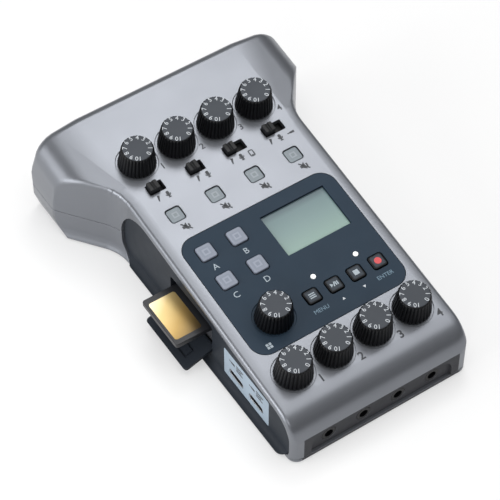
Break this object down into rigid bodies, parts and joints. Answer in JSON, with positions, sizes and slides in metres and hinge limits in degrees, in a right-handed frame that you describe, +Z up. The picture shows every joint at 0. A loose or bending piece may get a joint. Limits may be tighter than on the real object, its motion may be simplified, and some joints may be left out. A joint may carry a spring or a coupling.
{
  "type": "podcast_recorder",
  "caption": "Portable podcast recorder: silver wedge case, dark control panel with screen and pads, fluted knobs, slide switches, card slot and headphone jacks",
  "frame": {"origin": "on the table under the middle of the case", "axes": "+Y to the rear with the microphone sockets, +X to the right of the user, +Z up"},
  "size_m": [0.112, 0.156, 0.0476],
  "materials": {
    "silver_shell": "metallic paint on moulded plastic",
    "side_plastic": "fine grain",
    "slate_panel": "satin",
    "screen_glass": "clear over a grey green screen",
    "knob_plastic": "satin, white numbers",
    "black_plastic": "satin",
    "clear_key": "translucent",
    "dark_key": "satin",
    "light_pipe": "clear",
    "steel": "plain",
    "board": "solder mask",
    "label_plate": "satin",
    "card_plastic": "black with a gold label",
    "cell_wrap": "printed wrap",
    "rubber": "matte"
  },
  "bodies": {
    "case": {"top_cover": "silver_shell", "bottom_cover": "silver_shell", "side_panel_left": "side_plastic", "side_panel_right": "side_plastic", "rear_panel": "side_plastic", "xlr_socket_1": "black_plastic", "xlr_socket_2": "black_plastic", "xlr_socket_3": "black_plastic", "xlr_socket_4": "black_plastic", "control_panel": "slate_panel", "lcd_window": "screen_glass", "lcd_module": "side_plastic", "light_pipes": "light_pipe", "potentiometers": "steel", "key_switches": "black_plastic", "switch_bodies": "steel", "control_board": "board", "main_board": "board", "phones_jacks": "black_plastic", "phone_jack": "black_plastic", "usb_sockets": "steel", "usb_plate": "label_plate", "power_switch_body": "steel", "card_socket": "steel", "battery_tray": "side_plastic", "cells": "cell_wrap", "battery_contacts": "steel", "rubber_feet": "rubber", "case_screws": "steel"},
    "gain_knob_1": {"gain_knob_1": "knob_plastic"},
    "gain_knob_2": {"gain_knob_2": "knob_plastic"},
    "gain_knob_3": {"gain_knob_3": "knob_plastic"},
    "gain_knob_4": {"gain_knob_4": "knob_plastic"},
    "phones_knob_1": {"phones_knob_1": "knob_plastic"},
    "phones_knob_2": {"phones_knob_2": "knob_plastic"},
    "phones_knob_3": {"phones_knob_3": "knob_plastic"},
    "phones_knob_4": {"phones_knob_4": "knob_plastic"},
    "pad_knob": {"pad_knob": "knob_plastic"},
    "mute_key_1": {"mute_key_1": "clear_key"},
    "mute_key_2": {"mute_key_2": "clear_key"},
    "mute_key_3": {"mute_key_3": "clear_key"},
    "mute_key_4": {"mute_key_4": "clear_key"},
    "sound_pad_a": {"sound_pad_a": "clear_key"},
    "sound_pad_b": {"sound_pad_b": "clear_key"},
    "sound_pad_c": {"sound_pad_c": "clear_key"},
    "sound_pad_d": {"sound_pad_d": "clear_key"},
    "menu_key": {"menu_key": "dark_key"},
    "play_key": {"play_key": "dark_key"},
    "stop_key": {"stop_key": "dark_key"},
    "record_key": {"record_key": "dark_key"},
    "input_switch_1": {"input_switch_1": "black_plastic"},
    "input_switch_2": {"input_switch_2": "black_plastic"},
    "input_switch_3": {"input_switch_3": "black_plastic"},
    "input_switch_4": {"input_switch_4": "black_plastic"},
    "power_switch": {"power_switch": "black_plastic"},
    "memory_card": {"memory_card": "card_plastic"},
    "card_door": {"card_door": "side_plastic"},
    "battery_cover": {"battery_cover": "side_plastic"}
  },
  "joints": [
    {"name": "gain_knob_1_turn", "type": "hinge", "parent": "case", "child": "gain_knob_1", "pos_m": [-0.02625, 0.0462, 0.03746], "axis": [0, -0.1132, 0.9936], "range_deg": [-150, 150]},
    {"name": "gain_knob_2_turn", "type": "hinge", "parent": "case", "child": "gain_knob_2", "pos_m": [-0.00875, 0.0462, 0.03746], "axis": [0, -0.1132, 0.9936], "range_deg": [-150, 150]},
    {"name": "gain_knob_3_turn", "type": "hinge", "parent": "case", "child": "gain_knob_3", "pos_m": [0.00875, 0.0462, 0.03746], "axis": [0, -0.1132, 0.9936], "range_deg": [-150, 150]},
    {"name": "gain_knob_4_turn", "type": "hinge", "parent": "case", "child": "gain_knob_4", "pos_m": [0.02625, 0.0462, 0.03746], "axis": [0, -0.1132, 0.9936], "range_deg": [-150, 150]},
    {"name": "phones_knob_1_turn", "type": "hinge", "parent": "case", "child": "phones_knob_1", "pos_m": [-0.02595, -0.05822, 0.02557], "axis": [0, -0.1132, 0.9936], "range_deg": [-150, 150]},
    {"name": "phones_knob_2_turn", "type": "hinge", "parent": "case", "child": "phones_knob_2", "pos_m": [-0.00865, -0.05822, 0.02557], "axis": [0, -0.1132, 0.9936], "range_deg": [-150, 150]},
    {"name": "phones_knob_3_turn", "type": "hinge", "parent": "case", "child": "phones_knob_3", "pos_m": [0.00865, -0.05822, 0.02557], "axis": [0, -0.1132, 0.9936], "range_deg": [-150, 150]},
    {"name": "phones_knob_4_turn", "type": "hinge", "parent": "case", "child": "phones_knob_4", "pos_m": [0.02595, -0.05822, 0.02557], "axis": [0, -0.1132, 0.9936], "range_deg": [-150, 150]},
    {"name": "pad_knob_turn", "type": "hinge", "parent": "case", "child": "pad_knob", "pos_m": [-0.0193, -0.03587, 0.02811], "axis": [0, -0.1132, 0.9936], "range_deg": [-150, 150]},
    {"name": "mute_key_1_press", "type": "slide", "parent": "case", "child": "mute_key_1", "axis": [0, 0.1132, -0.9936], "range_m": [0, 0.0008], "stiffness_N_per_m": 400, "springref_m": -0.0003},
    {"name": "mute_key_2_press", "type": "slide", "parent": "case", "child": "mute_key_2", "axis": [0, 0.1132, -0.9936], "range_m": [0, 0.0008], "stiffness_N_per_m": 400, "springref_m": -0.0003},
    {"name": "mute_key_3_press", "type": "slide", "parent": "case", "child": "mute_key_3", "axis": [0, 0.1132, -0.9936], "range_m": [0, 0.0008], "stiffness_N_per_m": 400, "springref_m": -0.0003},
    {"name": "mute_key_4_press", "type": "slide", "parent": "case", "child": "mute_key_4", "axis": [0, 0.1132, -0.9936], "range_m": [0, 0.0008], "stiffness_N_per_m": 400, "springref_m": -0.0003},
    {"name": "sound_pad_a_press", "type": "slide", "parent": "case", "child": "sound_pad_a", "axis": [0, 0.1132, -0.9936], "range_m": [0, 0.0008], "stiffness_N_per_m": 400, "springref_m": -0.0003},
    {"name": "sound_pad_b_press", "type": "slide", "parent": "case", "child": "sound_pad_b", "axis": [0, 0.1132, -0.9936], "range_m": [0, 0.0008], "stiffness_N_per_m": 400, "springref_m": -0.0003},
    {"name": "sound_pad_c_press", "type": "slide", "parent": "case", "child": "sound_pad_c", "axis": [0, 0.1132, -0.9936], "range_m": [0, 0.0008], "stiffness_N_per_m": 400, "springref_m": -0.0003},
    {"name": "sound_pad_d_press", "type": "slide", "parent": "case", "child": "sound_pad_d", "axis": [0, 0.1132, -0.9936], "range_m": [0, 0.0008], "stiffness_N_per_m": 400, "springref_m": -0.0003},
    {"name": "menu_key_press", "type": "slide", "parent": "case", "child": "menu_key", "axis": [0, 0.1132, -0.9936], "range_m": [0, 0.0008], "stiffness_N_per_m": 400, "springref_m": -0.0003},
    {"name": "play_key_press", "type": "slide", "parent": "case", "child": "play_key", "axis": [0, 0.1132, -0.9936], "range_m": [0, 0.0008], "stiffness_N_per_m": 400, "springref_m": -0.0003},
    {"name": "stop_key_press", "type": "slide", "parent": "case", "child": "stop_key", "axis": [0, 0.1132, -0.9936], "range_m": [0, 0.0008], "stiffness_N_per_m": 400, "springref_m": -0.0003},
    {"name": "record_key_press", "type": "slide", "parent": "case", "child": "record_key", "axis": [0, 0.1132, -0.9936], "range_m": [0, 0.0008], "stiffness_N_per_m": 400, "springref_m": -0.0003},
    {"name": "input_switch_1_slide", "type": "slide", "parent": "case", "child": "input_switch_1", "axis": [1, 0, 0], "range_m": [0, 0.0021]},
    {"name": "input_switch_2_slide", "type": "slide", "parent": "case", "child": "input_switch_2", "axis": [1, 0, 0], "range_m": [0, 0.0021]},
    {"name": "input_switch_3_slide", "type": "slide", "parent": "case", "child": "input_switch_3", "axis": [1, 0, 0], "range_m": [0, 0.0042]},
    {"name": "input_switch_4_slide", "type": "slide", "parent": "case", "child": "input_switch_4", "axis": [1, 0, 0], "range_m": [0, 0.0042]},
    {"name": "power_slide", "type": "slide", "parent": "case", "child": "power_switch", "axis": [0, 1, 0], "range_m": [0, 0.003]},
    {"name": "card_push", "type": "slide", "parent": "case", "child": "memory_card", "axis": [1, 0, 0], "range_m": [0, 0.0171]},
    {"name": "card_door_swing", "type": "hinge", "parent": "case", "child": "card_door", "pos_m": [-0.03735, -0.01, 0.0083], "axis": [0, 1, 0], "range_deg": [0, 110]},
    {"name": "battery_cover_slide", "type": "slide", "parent": "case", "child": "battery_cover", "axis": [0, -1, 0], "range_m": [0, 0.006]}
  ],
  "couplings": [
    {"joint": "card_door_swing", "follows": "card_push", "rad_per_m": 112.27}
  ]
}
